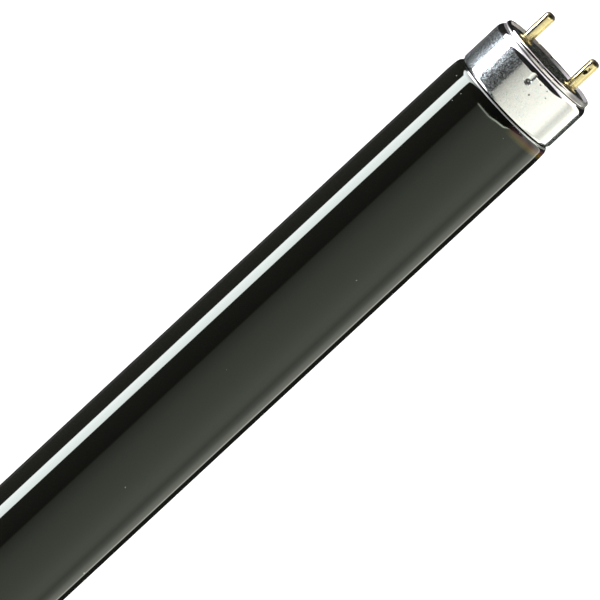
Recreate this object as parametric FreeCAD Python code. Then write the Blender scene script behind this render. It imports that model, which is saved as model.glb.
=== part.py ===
import FreeCAD, Part
import math
import os

from FreeCAD import Vector

# A straight fluorescent tube of 18 W, 600 mm class, in near-black ultraviolet-filter glass.
# Each end has a drawn aluminium cap with a moulded insulator and two hollow brass pins.
# Lengths are in millimetres. +X runs along the tube, the pins of an end lie side by side
# along Y, and +Z is up. The origin is the middle of the tube.
#
# An end piece is drawn about its own cap: s is the distance from the cap's crest plane back
# into the tube, and r is the distance from the axis.

# Overall sizes
face_to_face = 589.8
pin_reach = 6.9
pin_spacing = 12.7

# Glass
tube_radius = 12.7
glass_wall = 0.6
neck_start = 5.6
neck_round = 0.7
shoulder_slant = 0.5
shoulder_round = 1.6
taper_length = 2.6
taper_drop = 0.2
taper_round = 36.0
shoulder_foot_round = 0.3
shoulder_gap = 0.05
weld_thickness = 0.95

# Re-entrant stem of the glass: a flare, a straight tube, a flat press and the sealed
# exhaust tube, all melted into one with the bulb
flare_wall = 0.8
flare_mouth_inset = 2.1
flare_waist_depth = 2.5
flare_waist_radius = 5.9
flare_bend = 3.0
flare_depth = 8.9
stem_bore_radius = 3.7
stem_depth = 17.0
stem_floor = 1.5
press_width = 11.0
press_thickness = 3.6
press_length = 8.0
press_round = 1.2
exhaust_radius = 1.9
exhaust_bore_radius = 1.0
exhaust_tip_depth = 1.4
exhaust_tip_wall = 1.8
exhaust_tip_round = 1.4

# Cap shell, drawn from thin sheet, with a bead rolled over the insulator at the crest
shell_step = 0.48
shell_wall = 0.3
shell_length = 11.8
rim_lip_length = 0.5
rim_lip_drop = 0.27
rim_lip_round = 0.5
corner_back = 1.9
corner_round = 1.6
bead_drop = 0.77
bead_height = 1.01
bead_foot_round = 0.5
bead_outer_round = 0.42
bead_inner_round = 0.15
seat_depth = 0.75

# Stake marks that lock the insulator: a groove, a pit behind it, and a nick in the bead,
# once on top and once below
stake_groove_front = 2.75
stake_groove_back = 4.0
stake_groove_radius = 0.8
stake_groove_depth = 0.25
stake_pit_place = 4.45
stake_pit_radius = 0.6
stake_pit_depth = 0.8
nick_radius = 2.6
nick_depth = 0.18

# Insulator
plate_thickness = 1.6
skirt_depth = 2.65
skirt_wall = 1.2
skirt_round = 0.2
insulator_clearance = 0.1
key_width = 1.9
key_depth = 0.55

# Pins
pin_radius = 1.175
pin_bore_radius = 0.75
pin_tip_wall = 1.0
pin_tip_round = 0.85
pin_bore_round = 0.4
collar_radius = 1.62
collar_height = 0.55
collar_round = 0.16
rivet_radius = 1.65
rivet_height = 0.35
rivet_round = 0.15
crimp_place = 4.6
crimp_radius = 0.55
crimp_depth = 0.4
crimp_wall = 0.4

# Cement ring between the neck and the shell
cement_thickness = 0.57
cement_front_gap = 1.0
cement_back_gap = 1.1

# Lead wires from the press into the pins
lead_radius = 0.25
lead_press_gap = 0.05
lead_end_gap = 0.4
lead_stem_offset = 2.75

# Derived places
crest_x = face_to_face / 2
shell_radius = tube_radius - shell_step
shell_bore = shell_radius - shell_wall
neck_radius = shell_bore - cement_thickness
bead_radius = shell_radius - bead_drop
lip_radius = bead_radius - 2 * shell_wall
lip_back = shell_length - rim_lip_length
plate_back = seat_depth + plate_thickness
skirt_back = seat_depth + skirt_depth
stem_end = neck_start + stem_depth
pin_half = pin_spacing / 2
axis = Vector(1, 0, 0)


# A closed face in the plane of the axis. Each corner is (s, r, bend), and a bend is the
# radius of the arc that rounds it.
def section(corners):
    points = [Vector(-s, r, 0) for s, r, _ in corners]
    arrivals, departures, edges = [], [], []
    for i, corner in enumerate(corners):
        here = points[i]
        back = (points[i - 1] - here).normalize()
        ahead = (points[(i + 1) % len(points)] - here).normalize()
        bend = corner[2]
        if bend == 0:
            arrivals.append(here)
            departures.append(here)
            continue
        half = back.getAngle(ahead) / 2
        inward = (back + ahead).normalize()
        arrivals.append(here + back * (bend / math.tan(half)))
        departures.append(here + ahead * (bend / math.tan(half)))
        middle = here + inward * (bend / math.sin(half) - bend)
        edges.append(Part.Arc(arrivals[i], middle, departures[i]).toShape())
    for i, start in enumerate(departures):
        stop = arrivals[(i + 1) % len(points)]
        if start.distanceToPoint(stop) > 1e-6:
            edges.append(Part.makeLine(start, stop))
    wire = Part.Wire(Part.__sortEdges__(edges))
    return Part.Face(wire)


def turned(corners):
    return section(corners).revolve(Vector(0, 0, 0), axis, 360)


# Offsets a line of (s, r) points by a wall, keeping the end places in s. A positive wall
# grows it towards larger r, and a negative one shrinks it.
def offset_line(points, wall):
    slopes = [(b[1] - a[1]) / (b[0] - a[0]) for a, b in zip(points, points[1:])]
    lifts = [wall * math.hypot(1, slope) for slope in slopes]
    moved = [(points[0][0], points[0][1] + lifts[0])]
    for i in range(1, len(points) - 1):
        gap = lifts[i - 1] - lifts[i]
        shift = gap / (slopes[i] - slopes[i - 1])
        s = points[i][0] + shift
        moved.append((s, points[i][1] + slopes[i - 1] * shift + lifts[i - 1]))
    moved.append((points[-1][0], points[-1][1] + lifts[-1]))
    return moved


def place_right(shape):
    placed = shape.copy()
    placed.translate(Vector(crest_x, 0, 0))
    return placed


def place_left(shape):
    placed = shape.copy()
    placed.rotate(Vector(0, 0, 0), Vector(0, 0, 1), 180)
    placed.translate(Vector(-crest_x, 0, 0))
    return placed


def rod(radius, front, back, y=0):
    return Part.makeCylinder(radius, back - front, Vector(-back, y, 0), axis)


# The air side of the flare and stem tube, from the mouth in
def flare_line():
    return [
        (neck_start, neck_radius - flare_mouth_inset),
        (neck_start + flare_waist_depth, flare_waist_radius),
        (neck_start + flare_depth, stem_bore_radius),
        (stem_end, stem_bore_radius),
    ]


# Half the bulb's outside, from the middle of the tube to the end of the neck. The sealing
# fire leaves a slight taper before the shoulder.
def bulb_outside():
    foot = shell_length - shoulder_gap
    shoulder = foot + shoulder_slant
    return turned([
        (crest_x, 0, 0),
        (crest_x, tube_radius, 0),
        (shoulder + taper_length, tube_radius, taper_round),
        (shoulder, tube_radius - taper_drop, shoulder_round),
        (foot, neck_radius, shoulder_foot_round),
        (neck_start, neck_radius, neck_round),
        (neck_start, 0, 0),
    ])


# The sealed space inside the bulb, before the stem stands in it
def bulb_bore():
    foot = shell_length - shoulder_gap + glass_wall / 2
    shoulder = foot + shoulder_slant
    bore = tube_radius - glass_wall
    end = neck_start + weld_thickness
    return turned([
        (crest_x, 0, 0),
        (crest_x, bore, 0),
        (shoulder + taper_length, bore, taper_round - glass_wall),
        (shoulder, bore - taper_drop, shoulder_round - glass_wall),
        (foot, neck_radius - glass_wall, shoulder_foot_round),
        (end, neck_radius - glass_wall, 0),
        (end, 0, 0),
    ])


# The stem as a solid body that stands in the bulb
def stem_body():
    rim, waist, throat, stop = offset_line(flare_line(), flare_wall)
    tube = turned([
        (rim[0], 0, 0),
        (rim[0], rim[1], 0),
        (waist[0], waist[1], flare_bend),
        (throat[0], throat[1], flare_bend),
        (stop[0] + stem_floor, stop[1], flare_wall),
        (stop[0] + stem_floor, 0, 0),
    ])
    press_back = stem_end + press_length
    press = Part.makeBox(
        press_length, press_width, press_thickness,
        Vector(-press_back, -press_width / 2, -press_thickness / 2),
    )
    along = [edge for edge in press.Edges if edge.tangentAt(0).isParallel(axis, 1e-6)]
    return tube.fuse(press.makeFillet(press_round, along))


# The air space behind the cap that reaches down the flare, round the exhaust tube
def flare_space():
    rim, waist, throat, stop = flare_line()
    hollow = turned([
        (rim[0], 0, 0),
        (rim[0], rim[1], 0),
        (waist[0], waist[1], flare_bend),
        (throat[0], throat[1], flare_bend),
        (stop[0], stop[1], flare_wall),
        (stop[0], 0, 0),
    ])
    tip = neck_start + exhaust_tip_depth
    exhaust = turned([
        (tip, 0, 0),
        (tip, exhaust_radius, exhaust_tip_round),
        (stem_end, exhaust_radius, 0),
        (stem_end, 0, 0),
    ])
    return hollow.cut(exhaust)


def exhaust_channel():
    front = neck_start + exhaust_tip_depth + exhaust_tip_wall
    return rod(exhaust_bore_radius, front, stem_end + press_length)


def make_glass():
    half_outside = bulb_outside()
    half_bore = bulb_bore().cut(stem_body())
    solid = place_right(half_outside).fuse(place_left(half_outside))
    hollows = place_right(half_bore).fuse(place_left(half_bore))
    for place in (place_right, place_left):
        solid = solid.cut(place(flare_space()))
        hollows = hollows.fuse(place(exhaust_channel()))
    return solid.removeSplitter().cut(hollows.removeSplitter())


# A bar along X with round ends, centred over one side of the shell
def capsule(radius, height, front, back):
    bar = Part.makeCylinder(radius, back - front, Vector(-back, 0, height), axis)
    for s in (front, back):
        bar = bar.fuse(Part.makeSphere(radius, Vector(-s, 0, height)))
    return bar


# The mark that one staking punch leaves, grown by a wall for the bulge on the far side
def stake_mark(grown):
    groove_height = shell_radius - stake_groove_depth + stake_groove_radius
    pit_height = shell_radius - stake_pit_depth + stake_pit_radius
    groove = capsule(
        stake_groove_radius + grown, groove_height, stake_groove_front, stake_groove_back
    )
    return groove.fuse(
        Part.makeSphere(stake_pit_radius + grown, Vector(-stake_pit_place, 0, pit_height))
    )


# A shallow scallop over the bead's crest
def nick():
    low = lip_radius - shell_wall
    reach = shell_radius - low
    return Part.makeCylinder(
        nick_radius, reach, Vector(nick_radius - nick_depth, 0, low), Vector(0, 0, 1)
    )


def above_and_below(shape):
    other = shape.copy()
    other.rotate(Vector(0, 0, 0), axis, 180)
    return shape, other


# The corners of the shell's side from the bead's foot to the rim, moved in by an inset
def shell_side(inset):
    foot, corner = offset_line([
        (seat_depth, bead_radius),
        (bead_height, bead_radius),
        (corner_back, shell_radius),
        (lip_back, shell_radius),
    ], -inset)[1:3]
    return (*foot, bead_foot_round), (*corner, corner_round - inset)


def make_shell():
    lip_outer = shell_radius - rim_lip_drop
    outer_foot, outer_corner = shell_side(0)
    inner_foot, inner_corner = shell_side(shell_wall)
    wall = turned([
        (shell_length, lip_outer, 0),
        (lip_back, shell_radius, rim_lip_round),
        outer_corner,
        outer_foot,
        (0, bead_radius, bead_outer_round),
        (0, lip_radius, bead_inner_round),
        (seat_depth, lip_radius, 0),
        (seat_depth, bead_radius - shell_wall, 0),
        inner_foot,
        inner_corner,
        (lip_back, shell_bore, rim_lip_round),
        (shell_length, lip_outer - shell_wall, 0),
    ])
    inside = turned([
        (seat_depth, 0, 0),
        (seat_depth, bead_radius - shell_wall, 0),
        inner_foot,
        inner_corner,
        (lip_back, shell_bore, 0),
        (lip_back, 0, 0),
    ])
    for bulge in above_and_below(stake_mark(shell_wall).common(inside)):
        wall = wall.fuse(bulge)
    for mark in above_and_below(stake_mark(0)) + above_and_below(nick()):
        wall = wall.cut(mark)
    return wall.removeSplitter()


def make_insulator():
    inset = shell_wall + insulator_clearance
    skirt_radius = shell_radius - inset
    foot, corner = shell_side(inset)
    body = turned([
        (seat_depth, 0, 0),
        (seat_depth, bead_radius - inset, 0),
        foot,
        corner,
        (skirt_back, skirt_radius, skirt_round),
        (skirt_back, skirt_radius - skirt_wall, skirt_round),
        (plate_back, skirt_radius - skirt_wall, skirt_round),
        (plate_back, 0, 0),
    ])
    key_front = stake_groove_front - stake_groove_radius - inset
    key_length = skirt_back - key_front
    key_way = Part.makeBox(
        key_length, key_width, key_depth + insulator_clearance,
        Vector(-skirt_back, -key_width / 2, skirt_radius - key_depth),
    )
    for slot in above_and_below(key_way):
        body = body.cut(slot)
    for y in (pin_half, -pin_half):
        body = body.cut(rod(pin_radius, seat_depth, plate_back, y))
    return body.removeSplitter()


# side is +1 for the pin on +Y, whose crimp faces down, and -1 for its partner, whose
# crimp faces up
def make_pin(side):
    tip_inside = pin_tip_wall - pin_reach
    rivet_back = plate_back + rivet_height
    pin = turned([
        (-pin_reach, 0, 0),
        (-pin_reach, pin_radius, pin_tip_round),
        (seat_depth - collar_height, pin_radius, 0),
        (seat_depth - collar_height, collar_radius, collar_round),
        (seat_depth, collar_radius, 0),
        (seat_depth, pin_radius, 0),
        (plate_back, pin_radius, 0),
        (plate_back, rivet_radius, 0),
        (rivet_back, rivet_radius, rivet_round),
        (rivet_back, pin_bore_radius, rivet_round),
        (tip_inside, pin_bore_radius, pin_bore_round),
        (tip_inside, 0, 0),
    ])
    punch = Vector(crimp_place, 0, -side * (pin_radius - crimp_depth + crimp_radius))
    bore = rod(pin_bore_radius, tip_inside + pin_bore_round, rivet_back - rivet_round)
    bulge = Part.makeSphere(crimp_radius + crimp_wall, punch).common(bore)
    pin = pin.fuse(bulge).cut(Part.makeSphere(crimp_radius, punch)).removeSplitter()
    pin.translate(Vector(0, side * pin_half, 0))
    return pin


def make_cement():
    front = neck_start + cement_front_gap
    back = shell_length - cement_back_gap
    return rod(shell_bore, front, back).cut(rod(neck_radius, front, back))


def make_lead(side):
    straight = neck_start + flare_depth
    rivet_back = plate_back + rivet_height
    route = [
        (stem_end - lead_press_gap, lead_stem_offset),
        (straight, lead_stem_offset),
        ((straight + rivet_back) / 2, (lead_stem_offset + pin_half) / 2),
        (rivet_back, pin_half),
        (pin_tip_wall + lead_end_gap - pin_reach, pin_half),
    ]
    stations = [Vector(-s, side * y, 0) for s, y in route]
    slant = Vector(stations[3] - stations[1])
    bend = Part.BSplineCurve()
    bend.interpolate(stations[1:4], Tangents=[axis * slant.x, slant, axis * slant.x],
                     TangentFlags=[True, True, True])
    path = Part.Wire([
        Part.makeLine(stations[0], stations[1]),
        bend.toShape(),
        Part.makeLine(stations[3], stations[4]),
    ])
    ring = Part.Wire(Part.makeCircle(lead_radius, stations[0], axis))
    return path.makePipeShell([ring], True, False)


def write(name, shape):
    shape.exportStep("parts/" + name + ".step")


def write_end(end, place):
    write(end + "_cap_shell", place(make_shell()))
    write(end + "_insulator", place(make_insulator()))
    write(end + "_cement_ring", place(make_cement()))
    for number, side in ((1, 1), (2, -1)):
        write(end + "_contact_pin_" + str(number), place(make_pin(side)))
        write(end + "_lead_wire_" + str(number), place(make_lead(side)))


os.makedirs("parts", exist_ok=True)
write("glass_tube", make_glass())
write_end("right", place_right)
write_end("left", place_left)
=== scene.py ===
import math

import bmesh
import bpy
import numpy as np
from mathutils import Matrix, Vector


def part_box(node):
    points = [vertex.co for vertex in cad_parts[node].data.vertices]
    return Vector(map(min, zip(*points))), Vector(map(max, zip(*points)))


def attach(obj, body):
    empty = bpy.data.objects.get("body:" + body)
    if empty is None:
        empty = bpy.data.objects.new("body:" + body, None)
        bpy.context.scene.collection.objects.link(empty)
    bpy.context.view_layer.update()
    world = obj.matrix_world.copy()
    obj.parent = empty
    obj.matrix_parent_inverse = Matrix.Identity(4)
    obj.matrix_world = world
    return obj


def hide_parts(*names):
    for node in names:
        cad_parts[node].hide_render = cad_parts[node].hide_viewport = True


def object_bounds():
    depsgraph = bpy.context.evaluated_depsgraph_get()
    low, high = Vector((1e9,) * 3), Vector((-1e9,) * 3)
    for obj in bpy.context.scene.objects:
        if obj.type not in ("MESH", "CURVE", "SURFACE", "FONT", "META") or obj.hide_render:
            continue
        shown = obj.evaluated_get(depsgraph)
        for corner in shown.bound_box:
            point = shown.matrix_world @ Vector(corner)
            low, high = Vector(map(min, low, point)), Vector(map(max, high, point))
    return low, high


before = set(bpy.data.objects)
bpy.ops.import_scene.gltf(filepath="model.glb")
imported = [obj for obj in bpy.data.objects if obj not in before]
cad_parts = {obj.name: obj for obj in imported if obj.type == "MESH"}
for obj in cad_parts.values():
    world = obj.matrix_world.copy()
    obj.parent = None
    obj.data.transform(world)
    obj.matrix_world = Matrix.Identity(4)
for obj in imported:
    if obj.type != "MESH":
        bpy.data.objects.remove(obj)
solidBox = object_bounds()
mm = 0.001


# Sizes that every piece shares, in millimetres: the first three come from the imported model

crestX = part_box("right_cap_shell")[1].x / mm  # plane of each cap's outermost rim
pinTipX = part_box("right_contact_pin_1")[1].x / mm
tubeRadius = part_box("glass_tube")[1].y / mm
pinSpacing = 12.7
capLength = 11.8


# Profiles

# A line of corners (s, r, bend) becomes a dense polyline: a bend is the radius of the arc
# that is tangent to both runs, its middle on the corner's bisector, cut every few degrees.
def roundedLine(corners, closed=False, degrees=5.0):
    knots = np.array(corners, float)
    count = len(knots)
    line = []
    for i in range(count):
        here = knots[i, :2]
        bend = knots[i, 2]
        if bend == 0 or (not closed and i in (0, count - 1)):
            line.append(here[None])
            continue
        back = knots[i - 1, :2] - here
        ahead = knots[(i + 1) % count, :2] - here
        back = back / np.linalg.norm(back)
        ahead = ahead / np.linalg.norm(ahead)
        half = math.acos(np.clip(back @ ahead, -1, 1)) / 2
        bisector = (back + ahead) / np.linalg.norm(back + ahead)
        centre = here + bisector * (bend / math.sin(half))
        start = here + back * (bend / math.tan(half)) - centre
        stop = here + ahead * (bend / math.tan(half)) - centre
        sweep = math.pi - 2 * half
        steps = max(2, math.ceil(math.degrees(sweep) / degrees))
        share = np.linspace(0, 1, steps + 1)[:, None]
        arc = (np.sin((1 - share) * sweep) * start + np.sin(share * sweep) * stop) / math.sin(sweep)
        line.append(centre + arc)
    return np.concatenate(line)


# Each run of a line is cut into equal parts no longer than the step that stepAt gives for
# its middle, so a mesh is fine only where dents and glints need it.
def spaced(line, stepAt, closed=False):
    ends = np.roll(line, -1, axis=0) if closed else line[1:]
    starts = line if closed else line[:-1]
    middles = (starts + ends) / 2
    lengths = np.linalg.norm(ends - starts, axis=1)
    parts = np.maximum(1, np.ceil(lengths / stepAt(middles[:, 0], middles[:, 1]))).astype(int)
    run = np.repeat(np.arange(len(starts)), parts)
    first = np.cumsum(parts) - parts
    share = ((np.arange(len(run)) - first[run]) / parts[run])[:, None]
    points = starts[run] * (1 - share) + ends[run] * share
    return points if closed else np.concatenate([points, line[-1:]])


# Angles once round the axis, closer together near the top and the bottom: the density is
# one plus a bell curve of the sine, and equal shares of its running sum give the angles.
def crowdedAngles(count, crowd=0.0, width=0.1):
    turn = np.linspace(0, 2 * math.pi, 7201)
    density = 1 + crowd * np.exp(-((np.sin(turn) / width) ** 2))
    total = np.concatenate([[0], np.cumsum((density[1:] + density[:-1]) / 2)])
    return np.interp(np.arange(count) / count, total / total[-1], turn)


# A profile turned about the tube's axis: x is minus s, y is r times the sine of the angle
# and z is r times its cosine.
def turnedGrid(line, angles):
    s, r = line[:, 0, None], line[:, 1, None]
    return np.stack(np.broadcast_arrays(-s, r * np.sin(angles), r * np.cos(angles)), axis=-1)


# Moves an end piece drawn about its own cap to its place. The left end is the right end
# turned half round about Z.
def placedAt(grid, end, y=0.0):
    turn = 1.0 if end == "right" else -1.0
    return (grid + np.array([crestX, y, 0.0])) * np.array([turn, turn, 1.0])


# A positive part with a soft corner: half of x plus the root of x squared plus k squared
def softPart(x, k):
    return (x + np.sqrt(x * x + k * k)) / 2


# Height above the axis that a round-ended bar of some radius leaves under itself: the bar
# runs along the axis from front to back, and beyond its edge the surface climbs steeply.
def underBar(s, y, radius, height, front, back):
    beyond = np.maximum(front - s, 0) + np.maximum(s - back, 0)
    reach = np.hypot(beyond, y)
    inside = np.minimum(reach, radius)
    climb = 3.0
    return height - np.sqrt(radius**2 - inside**2) + climb * (reach - inside)


# Puts a grid of points into a mesh object: rows join their neighbours round the turn, and
# a closed profile joins its last row to its first. Doubles at the poles are merged, then
# the normals are recalculated, and edges sharper than the limit stay crisp.
def meshFromGrid(name, grid, closed):
    sharpDegrees = 35.0
    sameWithin = 1e-7
    rows, columns = grid.shape[:2]
    numbers = np.arange(rows * columns).reshape(rows, columns)
    upper = numbers if closed else numbers[:-1]
    lower = np.roll(numbers, -1, axis=0) if closed else numbers[1:]
    faces = np.stack([upper, np.roll(upper, -1, axis=1), np.roll(lower, -1, axis=1), lower], axis=-1)
    faces = faces.reshape(-1, 4)
    mesh = bpy.data.meshes.new(name)
    mesh.vertices.add(rows * columns)
    mesh.vertices.foreach_set("co", (grid * mm).astype(np.float32).ravel())
    mesh.loops.add(faces.size)
    mesh.loops.foreach_set("vertex_index", faces.astype(np.int32).ravel())
    mesh.polygons.add(len(faces))
    mesh.polygons.foreach_set("loop_start", np.arange(0, faces.size, 4, dtype=np.int32))
    mesh.update(calc_edges=True)
    work = bmesh.new()
    work.from_mesh(mesh)
    bmesh.ops.remove_doubles(work, verts=work.verts, dist=sameWithin)
    bmesh.ops.recalc_face_normals(work, faces=work.faces)
    work.to_mesh(mesh)
    work.free()
    mesh.polygons.foreach_set("use_smooth", np.ones(len(mesh.polygons), bool))
    mesh.set_sharp_from_angle(angle=math.radians(sharpDegrees))
    piece = bpy.data.objects.new(name, mesh)
    bpy.context.scene.collection.objects.link(piece)
    print("built", name, "with", len(mesh.polygons), "faces")
    return piece


# Glass tube

glassSizes = {
    "neckStart": 5.6,  # all lengths in millimetres, s counted back from the cap's crest
    "neckRadius": 11.35,
    "neckRound": 0.7,
    "footBack": 11.85,
    "footRound": 0.3,
    "shoulderSlant": 0.5,
    "shoulderRound": 1.6,
    "taperLength": 2.6,
    "taperDrop": 0.2,
    "taperRound": 36.0,
    "flareMouthRadius": 9.25,
    "flareMouthRound": 0.25,
    "flareWaist": (8.1, 5.9),
    "stemThroat": (14.5, 3.7),
    "flareBend": 3.0,
    "stemEnd": 22.6,
    "stemFloorRound": 0.8,
    "exhaustRadius": 1.9,
    "exhaustTip": 7.0,
    "exhaustTipRound": 1.4,
    "supportRings": (0.2, 0.6, 2.0, 6.0, 20.0, 60.0, 140.0),  # beyond the taper
    "fineUpTo": 14.0,  # the mesh is cut finely from the neck to here
    "fineStep": 1.2,
    "segments": 192,
}


# The air side of the whole bulb as one turned surface: from the sealed tip of one exhaust
# tube down the flare, round the neck, over the shoulder, along the barrel, and the same
# way back at the other end.
def makeGlass():
    size = glassSizes
    shoulder = size["footBack"] + size["shoulderSlant"]
    half = roundedLine([
        (size["exhaustTip"], 0, 0),
        (size["exhaustTip"], size["exhaustRadius"], size["exhaustTipRound"]),
        (size["stemEnd"], size["exhaustRadius"], 0),
        (size["stemEnd"], size["stemThroat"][1], size["stemFloorRound"]),
        (*size["stemThroat"], size["flareBend"]),
        (*size["flareWaist"], size["flareBend"]),
        (size["neckStart"], size["flareMouthRadius"], size["flareMouthRound"]),
        (size["neckStart"], size["neckRadius"], size["neckRound"]),
        (size["footBack"], size["neckRadius"], size["footRound"]),
        (shoulder, tubeRadius - size["taperDrop"], size["shoulderRound"]),
        (shoulder + size["taperLength"], tubeRadius, size["taperRound"]),
        (crestX, tubeRadius, 0),
    ], degrees=2.5)[:-1]
    rings = half[-1, 0] + np.array(size["supportRings"])
    barrel = np.stack([rings, np.full(len(rings), tubeRadius)], axis=1)
    half = np.concatenate([half, barrel])
    half = spaced(half, lambda s, r: np.where(s > size["fineUpTo"], np.inf, size["fineStep"]))
    half[:, 0] -= crestX
    other = half[::-1] * np.array([-1.0, 1.0])
    whole = np.concatenate([half, other])
    grid = turnedGrid(whole, crowdedAngles(size["segments"]))
    piece = meshFromGrid("glassBulb", grid, closed=False)
    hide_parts("glass_tube")
    return piece


# Cap shells

shellSizes = {
    "radius": 12.22,
    "wall": 0.3,
    "rimLip": (0.5, 0.27, 0.5),  # length, drop and bend of the crimped rim
    "rimEdgeRound": 0.07,
    "corner": (1.986, 1.7),  # place and bend
    "bead": (1.16, 11.45),  # foot and radius
    "beadFootRound": 0.5,
    "beadSlope": (0.56, 0.08, 0.5),  # where the bead starts to fall, how far, and the bend there
    "beadOuterRound": 0.48,
    "lipRadius": 10.85,
    "beadInnerRound": 0.1,
    "seatDepth": 0.75,
    "groove": (2.75, 4.0, 0.8, 0.25),  # front, back, punch radius and depth
    "pit": (4.45, 0.6, 0.8),  # place, punch radius and depth
    "nick": (2.6, 0.08),  # cutter radius and depth
    "nickSoftness": 0.04,
    "nickReach": 1.0,  # it shapes nothing further back than this
    "softness": 0.05,  # how far the edges of the stake marks are rounded
    "dentStart": 0.9,  # the mesh is fine from here to dentEnd
    "dentEnd": 5.7,
    "fineStep": 0.085,
    "coarseStep": 0.9,
    "faceSplit": (0.9, 2.3, 11.2),  # from, to and first radius of the line between the wall's faces
    "segments": 384,
}


# Presses the stake marks into a wall: where the wall stands above the surface that a punch
# leaves, it comes down to it with a soft corner. grown widens the punches for the far side.
def stakedDown(grid, grown):
    front, back, grooveRadius, grooveDepth = shellSizes["groove"]
    place, pitRadius, pitDepth = shellSizes["pit"]
    s, y, z = -grid[..., 0], grid[..., 1], grid[..., 2]
    high = np.abs(z)
    for radius, depth, start, stop in (
        (grooveRadius, grooveDepth, front, back),
        (pitRadius, pitDepth, place, place),
    ):
        height = shellSizes["radius"] - depth + radius
        floor = underBar(s, y, radius + grown, height, start, stop)
        high = high - softPart(high - floor, shellSizes["softness"])
    pressed = grid.copy()
    pressed[..., 2] = np.copysign(high, z)
    return pressed


# The shallow scallop over the bead, cut by an upright cylinder that just reaches the crest
def nicked(grid):
    radius, depth = shellSizes["nick"]
    y = np.minimum(np.abs(grid[..., 1]), radius)
    cut = depth - (radius - np.sqrt(radius**2 - y**2))
    s = -grid[..., 0]
    pushed = softPart(cut - s, shellSizes["nickSoftness"]) * (s < shellSizes["nickReach"])
    scalloped = grid.copy()
    scalloped[..., 0] = -(s + pushed)
    return scalloped


# One closed wall turned about the axis: crimped rim, barrel, rounded corner, rolled bead
# and the way back inside, with two stake marks
def makeShell(end):
    size = shellSizes
    wall = size["wall"]
    lipLength, lipDrop, lipRound = size["rimLip"]
    lipBack = capLength - lipLength
    cornerBack, cornerRound = size["corner"]
    beadFoot, beadRadius = size["bead"]
    slopeStart, slopeDrop, slopeBend = size["beadSlope"]
    lean = math.atan2(size["radius"] - beadRadius, cornerBack - beadFoot)
    shift = wall * math.tan(lean / 2)
    edge = size["rimEdgeRound"]
    corners = [
        (capLength, size["radius"] - lipDrop, edge),
        (lipBack, size["radius"], lipRound),
        (size["dentEnd"], size["radius"], 0),
        (cornerBack, size["radius"], cornerRound),
        (beadFoot, beadRadius, size["beadFootRound"]),
        (slopeStart, beadRadius, slopeBend),
        (0, beadRadius - slopeDrop, size["beadOuterRound"]),
        (0, size["lipRadius"], size["beadInnerRound"]),
        (size["seatDepth"], size["lipRadius"], 0),
        (size["seatDepth"], beadRadius - wall, 0),
        (beadFoot + shift, beadRadius - wall, size["beadFootRound"]),
        (cornerBack + shift, size["radius"] - wall, cornerRound - wall),
        (size["dentEnd"], size["radius"] - wall, 0),
        (lipBack, size["radius"] - wall, lipRound),
        (capLength, size["radius"] - lipDrop - wall, edge),
    ]

    def stepAt(s, r):
        dented = (s > size["dentStart"]) & (s < size["dentEnd"])
        return np.where(dented, size["fineStep"], size["coarseStep"])

    line = spaced(roundedLine(corners, closed=True, degrees=6.0), stepAt, closed=True)
    splitFront, splitBack, splitRadius = size["faceSplit"]
    split = np.interp(line[:, 0], (splitFront, splitBack), (splitRadius, size["radius"] - wall / 2))
    inner = line[:, 1] < split
    grid = turnedGrid(line, crowdedAngles(size["segments"], crowd=5.0, width=0.07))
    outside, inside = stakedDown(grid, 0.0), stakedDown(grid, wall)
    grid = np.where(inner[:, None, None], inside, outside)
    grid = nicked(grid)
    piece = meshFromGrid(end + "CapShell", placedAt(grid, end), closed=True)
    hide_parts(end + "_cap_shell")
    return piece


# Contact pins

pinSizes = {
    "radius": 1.175,
    "tipRound": 0.85,
    "collar": (1.62, 0.55, 0.16),  # radius, height and edge round
    "collarFootRounds": (0.06, 0.08),  # in front of the collar and behind it
    "seatDepth": 0.75,
    "plateBack": 2.35,
    "rivet": (1.65, 0.35, 0.15),  # radius, height and edge round
    "rivetFootRound": 0.05,
    "boreRadius": 0.75,
    "boreRound": 0.4,
    "tipWall": 1.0,
    "crimp": (4.6, 0.55, 0.4, 0.4),  # place beyond the crest, punch radius, depth and wall
    "crimpSoftness": 0.03,
    "fineAround": 0.7,  # the mesh is fine this far on both sides of the crimp
    "fineStep": 0.08,
    "coarseStep": 0.6,
    "segments": 96,
}


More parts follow.
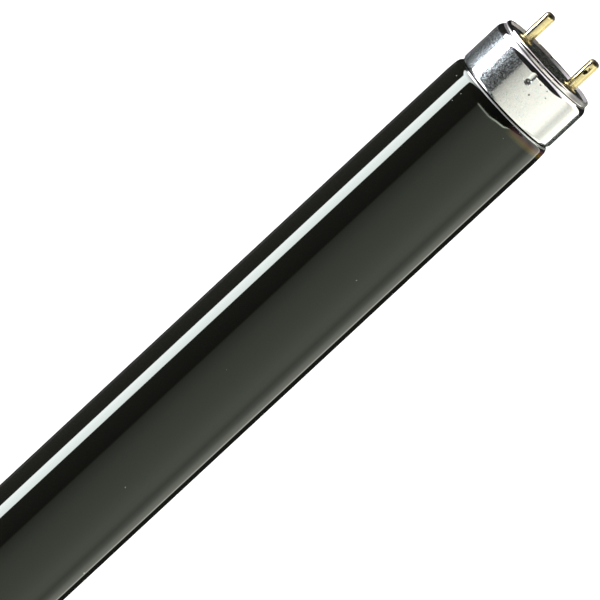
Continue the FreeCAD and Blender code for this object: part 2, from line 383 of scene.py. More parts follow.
# A hollow pin turned from its rounded tip over the collar to the rivet head and back up
# the bore. side is 1 for the pin on +Y, whose crimp faces down, and -1 for its partner.
def makePin(end, number, side):
    size = pinSizes
    reach = pinTipX - crestX
    collarRadius, collarHeight, collarRound = size["collar"]
    rivetRadius, rivetHeight, rivetRound = size["rivet"]
    frontRound, backRound = size["collarFootRounds"]
    collarFront = size["seatDepth"] - collarHeight
    rivetBack = size["plateBack"] + rivetHeight
    boreTip = size["tipWall"] - reach
    place, punchRadius, depth, wall = size["crimp"]
    line = roundedLine([
        (-reach, 0, 0),
        (-reach, size["radius"], size["tipRound"]),
        (collarFront, size["radius"], frontRound),
        (collarFront, collarRadius, collarRound),
        (size["seatDepth"], collarRadius, backRound),
        (size["seatDepth"], size["radius"], 0),
        (size["plateBack"], size["radius"], 0),
        (size["plateBack"], rivetRadius, size["rivetFootRound"]),
        (rivetBack, rivetRadius, rivetRound),
        (rivetBack, size["boreRadius"], rivetRound),
        (boreTip, size["boreRadius"], size["boreRound"]),
        (boreTip, 0, 0),
    ], degrees=7.5)

    def stepAt(s, r):
        return np.where(np.abs(s + place) < size["fineAround"], size["fineStep"], size["coarseStep"])

    line = spaced(line, stepAt)
    grid = turnedGrid(line, crowdedAngles(size["segments"], crowd=2.0, width=0.45))
    height = size["radius"] - depth + punchRadius
    inner = (line[:, 1] < (size["radius"] + size["boreRadius"]) / 2) & (line[:, 0] > boreTip)
    facing = -side * grid[..., 2]
    for rows, grown in ((~inner, 0.0), (inner, wall)):
        floor = underBar(-grid[..., 0], grid[..., 1], punchRadius + grown, height, -place, -place)
        pressed = facing - softPart(facing - floor, size["crimpSoftness"])
        pressed = np.where(facing > 0, pressed, facing)
        grid[..., 2] = np.where(rows[:, None], -side * pressed, grid[..., 2])
    name = end + "ContactPin" + str(number)
    piece = meshFromGrid(name, placedAt(grid, end, y=side * pinSpacing / 2), closed=False)
    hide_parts(end + "_contact_pin_" + str(number))
    return piece


# Shader helpers

# Adds a node, sets the inputs that are given, and links those that are sockets. An input is
# given by its name, with _ for a space, or as n and its number.
def addNode(tree, kind, settings=(), **inputs):
    node = tree.nodes.new(kind)
    for key, value in dict(settings).items():
        setattr(node, key, value)
    for key, value in inputs.items():
        numbered = key[0] == "n" and key[1:].isdigit()
        socket = node.inputs[int(key[1:]) if numbered else key.replace("_", " ")]
        if isinstance(value, bpy.types.NodeSocket):
            tree.links.new(value, socket)
        else:
            socket.default_value = value
    return node


# The result of a sum on sockets or numbers
def calc(tree, operation, *values, clamp=False):
    inputs = {"n" + str(i): value for i, value in enumerate(values)}
    node = addNode(tree, "ShaderNodeMath", {"operation": operation, "use_clamp": clamp}, **inputs)
    return node.outputs[0]


# Remaps a value from one span to another along a soft step
def softStep(tree, value, low, high, start=0.0, stop=1.0):
    settings = {"interpolation_type": "SMOOTHSTEP"}
    spans = {"From_Min": low, "From_Max": high, "To_Min": start, "To_Max": stop}
    return addNode(tree, "ShaderNodeMapRange", settings, Value=value, **spans).outputs[0]


# One between two places and zero outside, with soft edges
def ringMask(tree, value, low, high, soft=0.05):
    risen = softStep(tree, value, low - soft, low + soft)
    return calc(tree, "MULTIPLY", risen, softStep(tree, value, high + soft, high - soft))


# A colour between the first and the second, by share, or the two blended in another way
def mixColours(tree, share, first, second, blend="MIX"):
    node = tree.nodes.new("ShaderNodeMix")
    node.data_type = "RGBA"
    node.blend_type = blend
    for index, value in ((0, share), (6, first), (7, second)):
        if isinstance(value, bpy.types.NodeSocket):
            tree.links.new(value, node.inputs[index])
        else:
            node.inputs[index].default_value = value
    return node.outputs[2]


# Reads a list of places and colours, or places and brightnesses, at a value from 0 to 1
def rampOf(tree, value, stops):
    node = addNode(tree, "ShaderNodeValToRGB", n0=value)
    ramp = node.color_ramp
    while len(ramp.elements) < len(stops):
        ramp.elements.new(0.5)
    for element, (place, colour) in zip(ramp.elements, stops):
        element.position = place
        element.color = colour if isinstance(colour, tuple) else (colour, colour, colour, 1.0)
    return node.outputs[0]


# Starts a material with a shader of its own and the values that are the same all over it
def newMaterial(name, values):
    material = bpy.data.materials.new(name)
    material.use_nodes = True
    tree = material.node_tree
    shader = tree.nodes["Principled BSDF"]
    for key, value in values.items():
        shader.inputs[key].default_value = value
    return material, tree, shader


# Shared effects, each a node group

def newGroup(name, inputs, outputs):
    group = bpy.data.node_groups.new(name, "ShaderNodeTree")
    for label, value in inputs.items():
        socket = group.interface.new_socket(label, in_out="INPUT", socket_type="NodeSocketFloat")
        socket.default_value = value
    for label in outputs:
        group.interface.new_socket(label, in_out="OUTPUT", socket_type="NodeSocketFloat")
    start = group.nodes.new("NodeGroupInput")
    finish = group.nodes.new("NodeGroupOutput")
    place = group.nodes.new("ShaderNodeTexCoord").outputs["Object"]
    return group, start, finish, place


# Fine uneven grain, as on rolled sheet or moulded plastic: two sizes of noise added
def makeGrainGroup():
    group, start, finish, place = newGroup(
        "surfaceGrain", {"Scale": 1500.0, "Coarse Share": 0.4}, ["Height"]
    )
    fine = addNode(group, "ShaderNodeTexNoise", Vector=place, Scale=start.outputs["Scale"], Detail=3.0)
    coarseScale = calc(group, "MULTIPLY", start.outputs["Scale"], 0.28)
    coarse = addNode(group, "ShaderNodeTexNoise", Vector=place, Scale=coarseScale, Detail=2.0)
    weighted = calc(group, "MULTIPLY", coarse.outputs["Fac"], start.outputs["Coarse Share"])
    total = calc(group, "ADD", fine.outputs["Fac"], weighted)
    group.links.new(total, finish.inputs["Height"])
    return group


# Settled dust and tiny pits: round spots in some of the cells of a cell pattern, chosen by
# the cell's own random value
def makeSpeckGroup():
    group, start, finish, place = newGroup(
        "dustSpecks", {"Scale": 180.0, "Spot Size": 0.12, "Share": 0.15}, ["Mask"]
    )
    cells = addNode(group, "ShaderNodeTexVoronoi", Vector=place, Scale=start.outputs["Scale"])
    chance = addNode(group, "ShaderNodeSeparateColor", n0=cells.outputs["Color"])
    chosen = calc(group, "LESS_THAN", chance.outputs[0], start.outputs["Share"])
    size = calc(group, "MULTIPLY", chance.outputs[1], start.outputs["Spot Size"])
    spot = calc(group, "LESS_THAN", cells.outputs["Distance"], size)
    group.links.new(calc(group, "MULTIPLY", chosen, spot), finish.inputs["Mask"])
    return group


# Marks of handling: broad soft patches broken up by finer noise
def makeSmudgeGroup():
    group, start, finish, place = newGroup("handlingMarks", {"Scale": 60.0, "Contrast": 0.5}, ["Mask"])
    broad = addNode(group, "ShaderNodeTexNoise", Vector=place, Scale=start.outputs["Scale"], Detail=4.0)
    broad.inputs["Roughness"].default_value = 0.6
    centred = calc(group, "SUBTRACT", broad.outputs["Fac"], 0.5)
    spread = calc(group, "MULTIPLY", centred, start.outputs["Contrast"])
    lifted = calc(group, "ADD", calc(group, "MULTIPLY", spread, 4.0), 0.5, clamp=True)
    group.links.new(lifted, finish.inputs["Mask"])
    return group


# Places a shared effect with its own values and gives one of its outputs
def useGroup(tree, group, output, **values):
    node = tree.nodes.new("ShaderNodeGroup")
    node.node_tree = group
    for key, value in values.items():
        node.inputs[key.replace("_", " ")].default_value = value
    return node.outputs[output]


grainGroup = makeGrainGroup()
speckGroup = makeSpeckGroup()
smudgeGroup = makeSmudgeGroup()
print("shared effects ready")


# Distance in millimetres of a surface point from the nearer cap's crest plane, back into
# the tube, and the point's three coordinates in metres
def backFromCrest(tree):
    place = tree.nodes.new("ShaderNodeTexCoord").outputs["Object"]
    parts = addNode(tree, "ShaderNodeSeparateXYZ", n0=place)
    along = calc(tree, "MULTIPLY", calc(tree, "ABSOLUTE", parts.outputs[0]), 1 / mm)
    return calc(tree, "SUBTRACT", crestX, along), parts


# A round spot of some radius on the photographed end, s back from the crest plane and y
# across, in millimetres
def spotMask(tree, parts, s, y, radius):
    across = calc(tree, "SUBTRACT", calc(tree, "DIVIDE", parts.outputs[1], mm), y)
    along = calc(tree, "SUBTRACT", crestX - s, calc(tree, "DIVIDE", parts.outputs[0], mm))
    squares = [calc(tree, "MULTIPLY", side, side) for side in (across, along)]
    reach = calc(tree, "SQRT", calc(tree, "ADD", *squares))
    return softStep(tree, reach, radius * 1.3, radius * 0.5)


# Joins a height to a bump node that feeds the shader's normal
def bumpFrom(tree, shader, height, strength, distance):
    bump = addNode(tree, "ShaderNodeBump", Strength=strength, Distance=distance, Height=height)
    tree.links.new(bump.outputs["Normal"], shader.inputs["Normal"])


glassFinish = {
    "body": (0.0046, 0.0049, 0.0036, 1.0),  # seen by day, the filter glass is almost black
    "stains": [  # heat tints from the sealing fire, by distance from the crest in millimetres
        (12.5, (0.0046, 0.0049, 0.0036, 1.0)),
        (12.9, (0.05, 0.022, 0.034, 1.0)),
        (13.3, (0.085, 0.036, 0.02, 1.0)),
        (13.8, (0.11, 0.06, 0.012, 1.0)),
        (14.2, (0.06, 0.052, 0.014, 1.0)),
        (14.8, (0.0046, 0.0049, 0.0036, 1.0)),
    ],
    "tintFrom": (3.4, 6.0),  # the tints grow between these, millimetres from the axis towards -Y
    "dust": (0.55, 0.56, 0.52, 1.0),
    "dustCover": 0.8,
    "dustRough": 0.5,
    "motes": [  # single pale motes on the photographed end: millimetres back from the crest and y
        (14.5, 10.4), (15.9, 7.2), (18.1, 7.4), (15.7, -4.9), (12.6, -4.5), (12.7, -6.3),
    ],
    "moteRadius": 0.085,
    "moteCover": 0.6,
    "coatAndPaintedHighlight": (0.5, 0.52, 0.49, 1.0),  # a pale colour on the shoulder, under a real glossy coat: the pale colour is a painted highlight
    "coatAndHighlightRing": (12.15, 12.42),  # from and to, millimetres back from the crest
    "coatAndHighlightEnd": (0.0098, 0.0088),  # it fades out towards +Y between these, in metres
    "gloss": (0.015, 0.05),  # roughness where it is clean and where it is smudged
    "waves": (0.03, 0.0005),  # strength and height in metres
}


# Dark violet ultraviolet-filter glass: a clear gloss with faint waves, a band of heat tint
# and beside each cap a thin glossy coat with a pale painted highlight under it, wiped smudges and a few
# specks of dust
def makeGlassMaterial():
    material, tree, shader = newMaterial("darkVioletFilterGlass", {
        "IOR": 1.55,
        "Specular Tint": (0.88, 1.0, 0.88, 1.0),
        "Coat IOR": 3.4,
        "Coat Roughness": 0.03,
    })
    back, parts = backFromCrest(tree)
    low = glassFinish["stains"][0][0]
    high = glassFinish["stains"][-1][0]
    share = calc(tree, "DIVIDE", calc(tree, "SUBTRACT", back, low), high - low, clamp=True)
    stops = [((s - low) / (high - low), colour) for s, colour in glassFinish["stains"]]
    tint = rampOf(tree, share, stops)
    side = softStep(tree, calc(tree, "MULTIPLY", parts.outputs[1], -1 / mm), *glassFinish["tintFrom"])
    body = mixColours(tree, side, glassFinish["body"], tint)
    dust = useGroup(tree, speckGroup, "Mask", Scale=260.0, Spot_Size=0.06, Share=0.1)
    above = softStep(tree, parts.outputs[2], 0.0, 0.001)
    for s, y in glassFinish["motes"]:
        mote = calc(tree, "MULTIPLY", spotMask(tree, parts, s, y, glassFinish["moteRadius"]), above)
        dust = calc(tree, "MAXIMUM", dust, calc(tree, "MULTIPLY", mote, glassFinish["moteCover"]))
    cover = calc(tree, "MULTIPLY", dust, glassFinish["dustCover"])
    coloured = mixColours(tree, cover, body, glassFinish["dust"])
    # A thin ring on the shoulder gets a real clear coat and a pale base colour; the pale colour is a
    # painted highlight
    coatAndPaintedHighlight = ringMask(tree, back, *glassFinish["coatAndHighlightRing"])
    coatAndPaintedHighlight = calc(tree, "MULTIPLY", coatAndPaintedHighlight, softStep(tree, parts.outputs[1], *glassFinish["coatAndHighlightEnd"]))
    coloured = mixColours(tree, coatAndPaintedHighlight, coloured, glassFinish["coatAndPaintedHighlight"])
    tree.links.new(coloured, shader.inputs["Base Color"])
    tree.links.new(coatAndPaintedHighlight, shader.inputs["Coat Weight"])
    smudge = useGroup(tree, smudgeGroup, "Mask", Scale=45.0, Contrast=0.5)
    wiped = softStep(tree, smudge, 0.45, 1.0, *glassFinish["gloss"])
    rough = calc(tree, "ADD", wiped, calc(tree, "MULTIPLY", dust, glassFinish["dustRough"]))
    tree.links.new(rough, shader.inputs["Roughness"])
    waves = useGroup(tree, grainGroup, "Height", Scale=55.0, Coarse_Share=1.5)
    bumpFrom(tree, shader, waves, *glassFinish["waves"])
    return material


shellFinish = {
    "metal": (0.98, 0.95, 0.94, 1.0),
    "dulled": (0.93, 0.905, 0.89, 1.0),
    "hazed": (0.8, 0.93, 0.93, 1.0),  # the frosted grains between the bright ones
    # the dark colour of specks, dust and the other dark marks, and of the painted shade on the bead
    "stainAndShade": (0.03, 0.03, 0.026, 1.0),
    "specks": [  # place on the photographed end: millimetres back from the crest, y and radius
        (4.45, 0.0, 0.5),
        (0.42, 0.75, 0.3),
        (0.42, 0.15, 0.3),
        (6.05, -2.05, 0.2),
        (3.05, -2.2, 0.17),
        (3.05, -4.0, 0.13),
        (4.2, -4.75, 0.13),
    ],
    "speckCover": 0.85,
    "pitGlint": (4.4, -0.05, 0.24),  # the lighter middle of the dark spot in the pit
    "pitGlintCover": 0.7,
    "farMark": (0.13, 0.3, 0.36),  # a dark mark inside the bead, opposite the stake mark
    "farMarkCover": 0.8,
    "dustCover": 0.5,
    "mattRing": (0.6, 0.92, 0.3),  # from, to and roughness, on the rolled bead
    "footDarkening": (1.02, 1.27),  # darker along the bead's foot, from and to
    "paintedShadeSide": (-0.0062, -0.0085),  # painted shade: the bead darkens between these, in metres along Y
    "paintedShadeEnd": (0.95, 0.8),  # and between these, millimetres back from the crest
    "paintedShadeCover": 0.7,
    "lipSpan": (0.2, 0.85),  # the bead's inner wall, from and to
    "lipRadius": (0.0111, 0.011),  # it lies inside these radii, in metres
    "lipRough": 0.65,
    "lipDull": 0.85,
    "frostFrom": (1.9, 2.9),  # the drawn barrel's frost grows between these
    "frostGrains": (0.67, 0.8),  # a higher first number leaves fewer grains
    "frostRough": 0.3,
    "gloss": 0.05,  # roughness of the clean metal
    "dirtAndShadeRough": 0.3,
    "dents": (0.06, 0.0001),  # strength and height in metres
    "beadDents": 0.15,  # how much of them the bead has
}


# Drawn aluminium, bright but rolled and handled: fine dents and frosted grains that break
# the reflections, dull patches, dark marks in the stake pit and along the bead's foot, painted shade on
# the bead towards -Y, and a few specks
def makeShellMaterial():
    material, tree, shader = newMaterial("drawnAluminium", {"IOR": 1.45})
    smudge = useGroup(tree, smudgeGroup, "Mask", Scale=130.0, Contrast=0.7)
    back, parts = backFromCrest(tree)
    drawn = softStep(tree, back, *shellFinish["frostFrom"])
    frost = useGroup(tree, grainGroup, "Height", Scale=9000.0, Coarse_Share=0.35)
    haze = calc(tree, "MULTIPLY", drawn, softStep(tree, frost, *shellFinish["frostGrains"]))
    base = mixColours(tree, smudge, shellFinish["metal"], shellFinish["dulled"])
    base = mixColours(tree, haze, base, shellFinish["hazed"])
    marks = None
    for s, y, radius in shellFinish["specks"]:
        spot = spotMask(tree, parts, s, y, radius)
        marks = spot if marks is None else calc(tree, "MAXIMUM", marks, spot)
    dust = useGroup(tree, speckGroup, "Mask", Scale=420.0, Spot_Size=0.05, Share=0.05)
    above = softStep(tree, parts.outputs[2], 0.0, 0.004)
    glint = spotMask(tree, parts, *shellFinish["pitGlint"])
    glint = calc(tree, "MULTIPLY", glint, shellFinish["pitGlintCover"])
    marks = calc(tree, "MULTIPLY", marks, calc(tree, "SUBTRACT", 1.0, glint))
    marks = calc(tree, "MULTIPLY", calc(tree, "MULTIPLY", marks, above), shellFinish["speckCover"])
    farMark = spotMask(tree, parts, *shellFinish["farMark"])
    farMark = calc(tree, "MULTIPLY", farMark, softStep(tree, parts.outputs[2], 0.0, -0.004))
    marks = calc(tree, "MAXIMUM", marks, calc(tree, "MULTIPLY", farMark, shellFinish["farMarkCover"]))
    dirtAndShade = calc(tree, "MAXIMUM", marks, calc(tree, "MULTIPLY", dust, shellFinish["dustCover"]))
    dirtAndShade = calc(tree, "MAXIMUM", dirtAndShade, ringMask(tree, back, *shellFinish["footDarkening"]))
    # Painted shade: near the crest, the bead darkens on its -Y side
    paintedShadeSide = softStep(tree, parts.outputs[1], *shellFinish["paintedShadeSide"])
    darkened = calc(tree, "MULTIPLY", paintedShadeSide, softStep(tree, back, *shellFinish["paintedShadeEnd"]))
    dirtAndShade = calc(tree, "MAXIMUM", dirtAndShade, calc(tree, "MULTIPLY", darkened, shellFinish["paintedShadeCover"]))
    coloured = mixColours(tree, dirtAndShade, base, shellFinish["stainAndShade"])
    tree.links.new(coloured, shader.inputs["Base Color"])
    dull = calc(tree, "MULTIPLY", haze, shellFinish["frostRough"])
    ringStart, ringEnd, ringRough = shellFinish["mattRing"]
    ring = ringMask(tree, back, ringStart, ringEnd)
    dull = calc(tree, "MAXIMUM", dull, calc(tree, "MULTIPLY", ring, ringRough))
    squares = [calc(tree, "MULTIPLY", parts.outputs[i], parts.outputs[i]) for i in (1, 2)]
    fromAxis = calc(tree, "SQRT", calc(tree, "ADD", *squares))
    inside = softStep(tree, fromAxis, *shellFinish["lipRadius"])
    lip = calc(tree, "MULTIPLY", inside, ringMask(tree, back, *shellFinish["lipSpan"]))
    dull = calc(tree, "MAXIMUM", dull, calc(tree, "MULTIPLY", lip, shellFinish["lipRough"]))
    lipCover = calc(tree, "MULTIPLY", lip, shellFinish["lipDull"])
    bare = calc(tree, "SUBTRACT", 1.0, calc(tree, "MAXIMUM", dirtAndShade, lipCover))
    tree.links.new(bare, shader.inputs["Metallic"])
    rough = calc(tree, "ADD", dull, shellFinish["gloss"])
    rough = calc(tree, "ADD", rough, calc(tree, "MULTIPLY", dirtAndShade, shellFinish["dirtAndShadeRough"]))
    tree.links.new(rough, shader.inputs["Roughness"])
    dents = useGroup(tree, grainGroup, "Height", Scale=3200.0, Coarse_Share=0.25)
    height = calc(tree, "MULTIPLY", dents, calc(tree, "ADD", drawn, shellFinish["beadDents"]))
    bumpFrom(tree, shader, height, *shellFinish["dents"])
    return material


phenolicFinish = {
    "body": (0.03, 0.033, 0.026, 1.0),
    "filler": (0.13, 0.136, 0.122, 1.0),
    "dark": (0.002, 0.002, 0.002, 1.0),
    "flakeStretch": (1.0, 1.0, 0.42),  # the filler's flakes lie long along Z
    "flakeShare": (0.54, 0.7),  # a higher first number leaves fewer flakes
    "grain": (0.5, 0.00008),  # strength and height in metres
}


# Moulded phenolic plastic: dark olive, with pale and dark filler grains and a dull skin
def makeInsulatorMaterial():
    material, tree, shader = newMaterial("mouldedPhenolic", {"IOR": 1.5, "Specular IOR Level": 0.0})
    grain = useGroup(tree, grainGroup, "Height", Scale=2100.0, Coarse_Share=0.8)
    spread = softStep(tree, grain, 0.7, 1.15)
    body = mixColours(tree, spread, phenolicFinish["dark"], phenolicFinish["body"])
    place = tree.nodes.new("ShaderNodeTexCoord").outputs["Object"]
    stretched = addNode(tree, "ShaderNodeMapping", Vector=place, Scale=phenolicFinish["flakeStretch"])
    flakes = addNode(tree, "ShaderNodeTexNoise", Vector=stretched.outputs[0], Scale=3300.0, Detail=2.0)
    flecks = softStep(tree, flakes.outputs["Fac"], *phenolicFinish["flakeShare"])
    coloured = mixColours(tree, flecks, body, phenolicFinish["filler"])
    tree.links.new(coloured, shader.inputs["Base Color"])
    tree.links.new(softStep(tree, grain, 0.6, 1.2, 0.75, 1.0), shader.inputs["Roughness"])
    bumpFrom(tree, shader, grain, *phenolicFinish["grain"])
    return material


brassFinish = {
    "metal": (0.97, 0.84, 0.46, 1.0),
    "tarnish": (0.42, 0.31, 0.11, 1.0),
    "burnt": (0.03, 0.026, 0.02, 1.0),  # tips blackened by small sparks in the holder
    "burntFrom": (-6.05, -6.4),  # millimetres back from the crest, so the tips are negative
    "burntCover": 0.95,
    "burntRough": 0.25,
    "tarnishFrom": (-0.9, 0.4),  # the collar's end browns between these
    "tarnishCover": 0.45,
    "smudgeCover": 0.3,
    "gloss": (0.1, 0.32),  # roughness where it is bright and where it is worn
    "grain": (0.15, 0.00004),  # strength and height in metres
}


# Polished brass that has been handled: duller and browner in patches and at the collar, with
# blackened tips and a fine grain
def makePinMaterial():
    material, tree, shader = newMaterial("polishedBrass", {"Metallic": 1.0})
    back = backFromCrest(tree)[0]
    smudge = useGroup(tree, smudgeGroup, "Mask", Scale=420.0, Contrast=0.8)
    smudged = calc(tree, "MULTIPLY", smudge, brassFinish["smudgeCover"])
    base = softStep(tree, back, *brassFinish["tarnishFrom"])
    browned = calc(tree, "MULTIPLY", base, brassFinish["tarnishCover"])
    darkened = calc(tree, "ADD", smudged, browned, clamp=True)
    coloured = mixColours(tree, darkened, brassFinish["metal"], brassFinish["tarnish"])
    tip = softStep(tree, back, *brassFinish["burntFrom"])
    burnt = calc(tree, "MULTIPLY", tip, brassFinish["burntCover"])
    coloured = mixColours(tree, burnt, coloured, brassFinish["burnt"])
    tree.links.new(coloured, shader.inputs["Base Color"])
    rough = softStep(tree, darkened, 0.0, 1.0, *brassFinish["gloss"])
    rough = calc(tree, "ADD", rough, calc(tree, "MULTIPLY", tip, brassFinish["burntRough"]))
    tree.links.new(rough, shader.inputs["Roughness"])
    grain = useGroup(tree, grainGroup, "Height", Scale=3000.0, Coarse_Share=0.5)
    bumpFrom(tree, shader, grain, *brassFinish["grain"])
    return material


cementFinish = {
    "resin": (0.3, 0.24, 0.16, 1.0),
    "filler": (0.56, 0.49, 0.38, 1.0),
    "pores": (0.6, 0.0002),  # strength and height in metres
}


# Cap cement: baked filler and resin, pale brown, porous
def makeCementMaterial():
    material, tree, shader = newMaterial("bakedCement", {"Roughness": 0.85})
    grain = useGroup(tree, grainGroup, "Height", Scale=900.0, Coarse_Share=1.0)
    share = softStep(tree, grain, 0.7, 1.3)
    coloured = mixColours(tree, share, cementFinish["resin"], cementFinish["filler"])
    tree.links.new(coloured, shader.inputs["Base Color"])
    bumpFrom(tree, shader, grain, *cementFinish["pores"])
    return material


leadFinish = {
    "metal": (0.62, 0.58, 0.52, 1.0),
    "heated": (0.42, 0.24, 0.14, 1.0),
    "heatedFrom": (8.0, 22.0),  # it browns between these, millimetres back from the crest
    "gloss": (0.25, 0.45),  # lowest and highest roughness
    "grain": (0.2, 0.00003),  # strength and height in metres
}


# Lead wire: nickel-coloured, browned by heat towards the glass
def makeLeadMaterial():
    material, tree, shader = newMaterial("leadWireMetal", {"Metallic": 1.0})
    back = backFromCrest(tree)[0]
    heat = softStep(tree, back, *leadFinish["heatedFrom"])
    coloured = mixColours(tree, heat, leadFinish["metal"], leadFinish["heated"])
    tree.links.new(coloured, shader.inputs["Base Color"])
    grain = useGroup(tree, grainGroup, "Height", Scale=4000.0, Coarse_Share=0.5)
    tree.links.new(softStep(tree, grain, 0.5, 1.3, *leadFinish["gloss"]), shader.inputs["Roughness"])
    bumpFrom(tree, shader, grain, *leadFinish["grain"])
    return material


def dress(piece, material):
    piece.data.materials.clear()
    piece.data.materials.append(material)


def dressNode(name, material):
    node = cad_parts[name]
    if not node.material_slots:
        node.data.materials.append(material)
    for slot in node.material_slots:
        slot.material = material


glass = makeGlass()
dress(glass, makeGlassMaterial())
shellMaterial = makeShellMaterial()
insulatorMaterial = makeInsulatorMaterial()
pinMaterial = makePinMaterial()
cementMaterial = makeCementMaterial()
leadMaterial = makeLeadMaterial()
built = [glass]
for end in ("right", "left"):
    shell = makeShell(end)
    dress(shell, shellMaterial)
    built.append(shell)
    for number, side in ((1, 1), (2, -1)):
        pin = makePin(end, number, side)
        dress(pin, pinMaterial)
        built.append(pin)
        dressNode(end + "_lead_wire_" + str(number), leadMaterial)
    dressNode(end + "_insulator", insulatorMaterial)
    dressNode(end + "_cement_ring", cementMaterial)
for piece in built:
    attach(piece, "root")
print("pieces and materials ready")


# Studio

studio = {
    "overhead": [  # brightness of the light tent by angle from overhead towards -Y, in degrees
        (-180, 0.0), (-158, 0.0), (-154, 0.25), (-150, 0.02), (-33, 0.03), (-30, 0.34), (-22, 0.5),
        (-5, 0.74), (10, 0.86), (40, 1.0), (70, 1.2), (83, 1.1), (96, 0.66), (107, 0.82), (117, 1.22),
        (133, 1.2), (134, 2.6), (136, 2.6), (138, 0.0), (180, 0.0),
    ],
    "edge": [  # where the tent ends towards the pins, in degrees from upright, by the same angle
        (-180, -1.6), (-2, -1.6), (6, -1.2), (13, -0.75), (30, -0.35), (45, 1.5), (51, 5.0),
        (58, 11.0), (72, 22.0), (84, 40.0), (96, 70.0), (115, 70.0), (137, 45.0), (180, 45.0),
    ],
    "edgeSoftness": 0.008,  # as a share of a quarter turn
    "hem": [  # brightness of the tent's lit edge
        (-180, 0.0), (-34, 0.0), (-30, 4.0), (-5, 4.5), (10, 7.0), (30, 8.0), (47, 0.0), (180, 0.0),
    ],
    "hemWidth": 0.45,  # degrees
    "tentColour": (1.0, 1.0, 0.9, 1.0),
    "bandColour": (1.06, 1.04, 1.12, 1.0),
    "shade": 0.016,  # what reaches the tube from the dark parts of the room
    "bandTop": 0.24,  # upper edge of the bright band, as a sine
    "bandSoftness": 0.012,  # of its upper and lower edge, as a sine
    "bandDepth": [  # how far the band reaches below eye level, as a sine, by its own angle
        (-180, 0.45), (20, 0.45), (45, 0.5), (60, 0.45), (72, 0.32), (90, 0.133), (180, 0.133),
    ],
    "band": [  # brightness of the band by angle from the +X side towards +Y
        (-180, 0.0), (-64, 0.0), (-50, 0.8), (30, 0.8), (55, 8.0), (80, 14.0), (106, 14.0), (125, 3.0),
        (180, 3.0),
    ],
    "brightest": 20.0,
    "floorColour": (0.95, 0.95, 0.94, 1.0),
    "floorReach": 40.0,  # metres from the middle to each side
    "floorGap": 0.0002,
}


# Pairs of an angle in degrees and a value become a ramp's stops
def rampStops(pairs, largest):
    return [((angle + 180) / 360, value / largest) for angle, value in pairs]


# The studio is one light tent round the tube, given by direction: a soft ceiling that ends
# beside the cap, and a bright band at eye level on the far side and beyond the pins. What
# the camera sees directly is plain white.
def makeStudioLight():
    world = bpy.data.worlds.new("lightTent")
    bpy.context.scene.world = world
    world.use_nodes = True
    tree = world.node_tree
    tree.nodes.clear()
    direction = tree.nodes.new("ShaderNodeTexCoord").outputs["Generated"]
    parts = addNode(tree, "ShaderNodeSeparateXYZ", n0=direction)
    x, y, z = parts.outputs
    fullTurn = 2 * math.pi
    over = calc(tree, "ARCTAN2", calc(tree, "MULTIPLY", y, -1.0), z)
    overShare = calc(tree, "ADD", calc(tree, "DIVIDE", over, fullTurn), 0.5)
    ceiling = rampOf(tree, overShare, rampStops(studio["overhead"], studio["brightest"]))
    lift = 5  # degrees added to both sides of the comparison, as a ramp holds nothing below zero
    raised = [(angle, lean + lift) for angle, lean in studio["edge"]]
    edge = rampOf(tree, overShare, rampStops(raised, 90))
    leaning = calc(tree, "DIVIDE", calc(tree, "ARCSINE", x), math.pi / 2)
    beyond = calc(tree, "SUBTRACT", calc(tree, "ADD", leaning, lift / 90), edge)
    inTent = softStep(tree, beyond, studio["edgeSoftness"], -studio["edgeSoftness"])
    ceiling = calc(tree, "MULTIPLY", ceiling, inTent)
    hemShine = rampOf(tree, overShare, rampStops(studio["hem"], studio["brightest"]))
    hemReach = studio["hemWidth"] / 90
    hemSpan = softStep(tree, calc(tree, "ABSOLUTE", beyond), hemReach, hemReach / 2)
    ceiling = calc(tree, "ADD", ceiling, calc(tree, "MULTIPLY", hemShine, hemSpan))
    heading = calc(tree, "ARCTAN2", y, x)
    roundShare = calc(tree, "ADD", calc(tree, "DIVIDE", heading, fullTurn), 0.5)
    band = rampOf(tree, roundShare, rampStops(studio["band"], studio["brightest"]))
    depth = rampOf(tree, roundShare, rampStops(studio["bandDepth"], 1.0))
    soft = studio["bandSoftness"]
    overBottom = softStep(tree, calc(tree, "ADD", z, depth), -soft, soft)
    underTop = softStep(tree, z, studio["bandTop"] + soft, studio["bandTop"] - soft)
    band = calc(tree, "MULTIPLY", band, calc(tree, "MULTIPLY", overBottom, underTop))
    tent = mixColours(tree, 1.0, ceiling, studio["tentColour"], "MULTIPLY")
    glow = mixColours(tree, 1.0, band, studio["bandColour"], "MULTIPLY")
    lit = mixColours(tree, 1.0, tent, glow, "ADD")
    shade = studio["shade"] / studio["brightest"]
    lit = mixColours(tree, 1.0, lit, (shade, shade, shade, 1.0), "ADD")
    light = addNode(tree, "ShaderNodeBackground", Color=lit, Strength=studio["brightest"])
    plain = addNode(tree, "ShaderNodeBackground", Color=(1.0, 1.0, 1.0, 1.0), Strength=1.0)
    seen = tree.nodes.new("ShaderNodeLightPath").outputs["Is Camera Ray"]
    mix = addNode(tree, "ShaderNodeMixShader", n0=seen, n1=light.outputs[0], n2=plain.outputs[0])
    out = tree.nodes.new("ShaderNodeOutputWorld")
    tree.links.new(mix.outputs[0], out.inputs["Surface"])


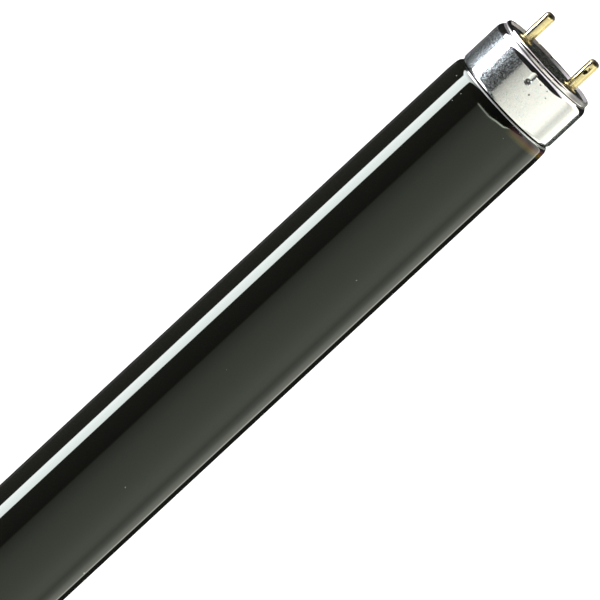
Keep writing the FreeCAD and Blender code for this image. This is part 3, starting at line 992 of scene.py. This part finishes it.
# A plain pale floor just under the tube, bright enough to show no shadow
def makeFloor():
    material = newMaterial("paleFloor", {
        "Base Color": studio["floorColour"],
        "Roughness": 0.9,
        "Emission Color": (1.0, 1.0, 1.0, 1.0),
        "Emission Strength": 1.0,
    })[0]
    corners = np.array([(-1, -1, 0), (1, -1, 0), (1, 1, 0), (-1, 1, 0)], float) * studio["floorReach"]
    corners[:, 2] = solidBox[0].z - studio["floorGap"]
    mesh = bpy.data.meshes.new("floor")
    mesh.from_pydata(corners.tolist(), [], [(0, 1, 2, 3)])
    floor = bpy.data.objects.new("floor", mesh)
    bpy.context.scene.collection.objects.link(floor)
    dress(floor, material)
    floor.visible_glossy = False
    floor.visible_shadow = False


cameraPlace = {
    "tilt": 8.12,  # degrees from straight above the tube towards its pins
    "turn": 42.88,  # degrees of the tube's rise across the picture
    "target": (0.22625, -0.00098, 0.0),  # metres, the middle of the picture
    "distance": 2.2,
    "pictureWidth": 0.11879,  # metres that the picture spans at the target
    "sensor": 36.0,
}


# The camera's own axes: right and up are the tube's direction and the one across it, both
# square to the line of sight, turned in the picture plane.
def makeCamera():
    tilt = math.radians(cameraPlace["tilt"])
    turn = math.radians(cameraPlace["turn"])
    sight = np.array([math.sin(tilt), 0, math.cos(tilt)])
    along = np.array([math.cos(tilt), 0, -math.sin(tilt)])
    across = np.array([0, -1, 0])
    right = math.cos(turn) * along + math.sin(turn) * across
    up = math.sin(turn) * along - math.cos(turn) * across
    lens = bpy.data.cameras.new("camera")
    lens.sensor_width = cameraPlace["sensor"]
    lens.lens = cameraPlace["sensor"] * cameraPlace["distance"] / cameraPlace["pictureWidth"]
    lens.clip_end = 100.0
    camera = bpy.data.objects.new("camera", lens)
    place = np.eye(4)
    place[:3, 0], place[:3, 1], place[:3, 2] = right, up, sight
    place[:3, 3] = np.array(cameraPlace["target"]) + sight * cameraPlace["distance"]
    camera.matrix_world = Matrix(place.tolist())
    bpy.context.scene.collection.objects.link(camera)
    bpy.context.scene.camera = camera


makeStudioLight()
makeFloor()
makeCamera()
bpy.context.scene.view_settings.view_transform = "Standard"
print("studio ready")
